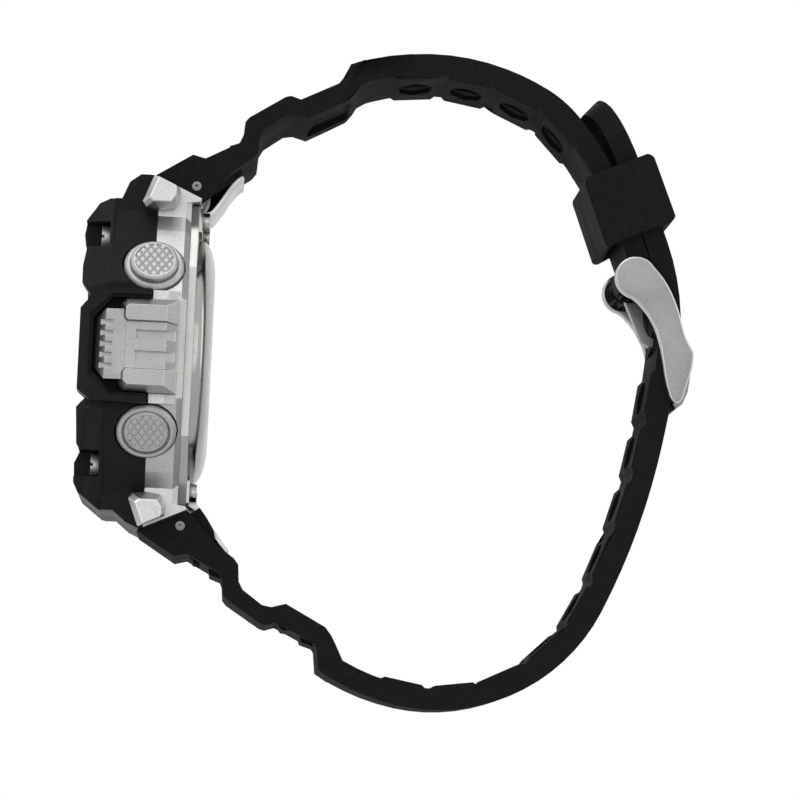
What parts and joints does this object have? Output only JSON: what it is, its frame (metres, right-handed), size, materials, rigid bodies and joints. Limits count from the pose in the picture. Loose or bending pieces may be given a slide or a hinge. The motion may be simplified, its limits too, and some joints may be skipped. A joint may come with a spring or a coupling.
{
  "type": "digital wrist watch",
  "caption": "Shock-resistant digital watch with metal guards, round side pushers, a stepped resin strap, buckle and keeper.",
  "frame": {"origin": "centre of the caseback's flat face, where it rests on the wrist", "axes": "+X out of the caseback towards the wrist, +Z towards 12 o'clock, -Y towards 3 o'clock"},
  "size_m": [0.078, 0.0506, 0.0831],
  "materials": {
    "case_metal": "fine satin",
    "bezel_resin": "matte moulded resin",
    "guard_metal": "bead blasted",
    "cap_metal": "bead blasted",
    "crystal": "polished mineral glass",
    "seal_rubber": "matte",
    "ring_plastic": "matte",
    "lcd": "satin polariser",
    "lcd_ink": "dark",
    "backlight": "satin",
    "module_plastic": "matte",
    "strip_rubber": "matte",
    "board": "solder mask",
    "chips": "matte",
    "cell_steel": "satin",
    "clip_steel": "spring steel",
    "brass": "plain",
    "back_steel": "polished and brushed",
    "screw_steel": "polished",
    "stay_steel": "satin",
    "sleeve_brass": "plain",
    "spring_steel": "spring wire",
    "strap_resin": "matte soft resin",
    "keeper_resin": "matte soft resin",
    "bar_steel": "plain",
    "buckle_steel": "bead blasted",
    "pusher_metal": "satin with knurled cap"
  },
  "bodies": {
    "watch": {"case_body": "case_metal", "bezel": "bezel_resin", "guard_right": "guard_metal", "guard_left": "guard_metal", "corner_caps": "cap_metal", "crystal": "crystal", "crystal_gasket": "seal_rubber", "display_ring": "ring_plastic", "lcd_panel": "lcd", "lcd_segments": "lcd_ink", "backlight": "backlight", "module_frame": "module_plastic", "contact_strips": "strip_rubber", "circuit_board": "board", "module_chips": "chips", "coin_cell": "cell_steel", "cell_clamp": "clip_steel", "cushion": "seal_rubber", "buzzer": "brass", "caseback": "back_steel", "caseback_gasket": "seal_rubber", "caseback_screws": "screw_steel", "strap_stay_upper": "stay_steel", "strap_stay_lower": "stay_steel", "bezel_screws": "screw_steel", "pusher_spring_2": "spring_steel", "pusher_spring_4": "spring_steel", "pusher_spring_8": "spring_steel", "pusher_spring_10": "spring_steel", "pusher_sleeves": "sleeve_brass", "pusher_seals": "seal_rubber", "strap_upper": "strap_resin", "strap_lower": "strap_resin", "strap_bar_upper": "bar_steel", "strap_bar_lower": "bar_steel"},
    "button_2": {"pusher_2": "pusher_metal", "pusher_clip_2": "clip_steel"},
    "button_4": {"pusher_4": "pusher_metal", "pusher_clip_4": "clip_steel"},
    "button_8": {"pusher_8": "pusher_metal", "pusher_clip_8": "clip_steel"},
    "button_10": {"pusher_10": "pusher_metal", "pusher_clip_10": "clip_steel"},
    "keeper": {"keeper": "keeper_resin"},
    "buckle": {"buckle_frame": "buckle_steel", "buckle_bar": "bar_steel"},
    "tang": {"buckle_tang": "buckle_steel"}
  },
  "joints": [
    {"name": "button_2_press", "type": "slide", "parent": "watch", "child": "button_2", "axis": [0, 0.848, -0.5299], "range_m": [0, 0.0008], "stiffness_N_per_m": 2500, "springref_m": -0.0004, "deforming": ["pusher_spring_2"]},
    {"name": "button_4_press", "type": "slide", "parent": "watch", "child": "button_4", "axis": [0, 0.848, 0.5299], "range_m": [0, 0.0008], "stiffness_N_per_m": 2500, "springref_m": -0.0004, "deforming": ["pusher_spring_4"]},
    {"name": "button_8_press", "type": "slide", "parent": "watch", "child": "button_8", "axis": [0, -0.848, 0.5299], "range_m": [0, 0.0008], "stiffness_N_per_m": 2500, "springref_m": -0.0004, "deforming": ["pusher_spring_8"]},
    {"name": "button_10_press", "type": "slide", "parent": "watch", "child": "button_10", "axis": [0, -0.848, -0.5299], "range_m": [0, 0.0008], "stiffness_N_per_m": 2500, "springref_m": -0.0004, "deforming": ["pusher_spring_10"]},
    {"name": "keeper_slide", "type": "slide", "parent": "watch", "child": "keeper", "axis": [0.3681, 0, -0.9298], "range_m": [-0.001, 0.002]},
    {"name": "buckle_hinge", "type": "hinge", "parent": "watch", "child": "buckle", "pos_m": [0.05318, 0, 0.01264], "axis": [0, -1, 0], "range_deg": [0, 3]},
    {"name": "tang_hinge", "type": "hinge", "parent": "buckle", "child": "tang", "pos_m": [0.05318, 0, 0.01264], "axis": [0, -1, 0], "range_deg": [0, 2.5]}
  ]
}
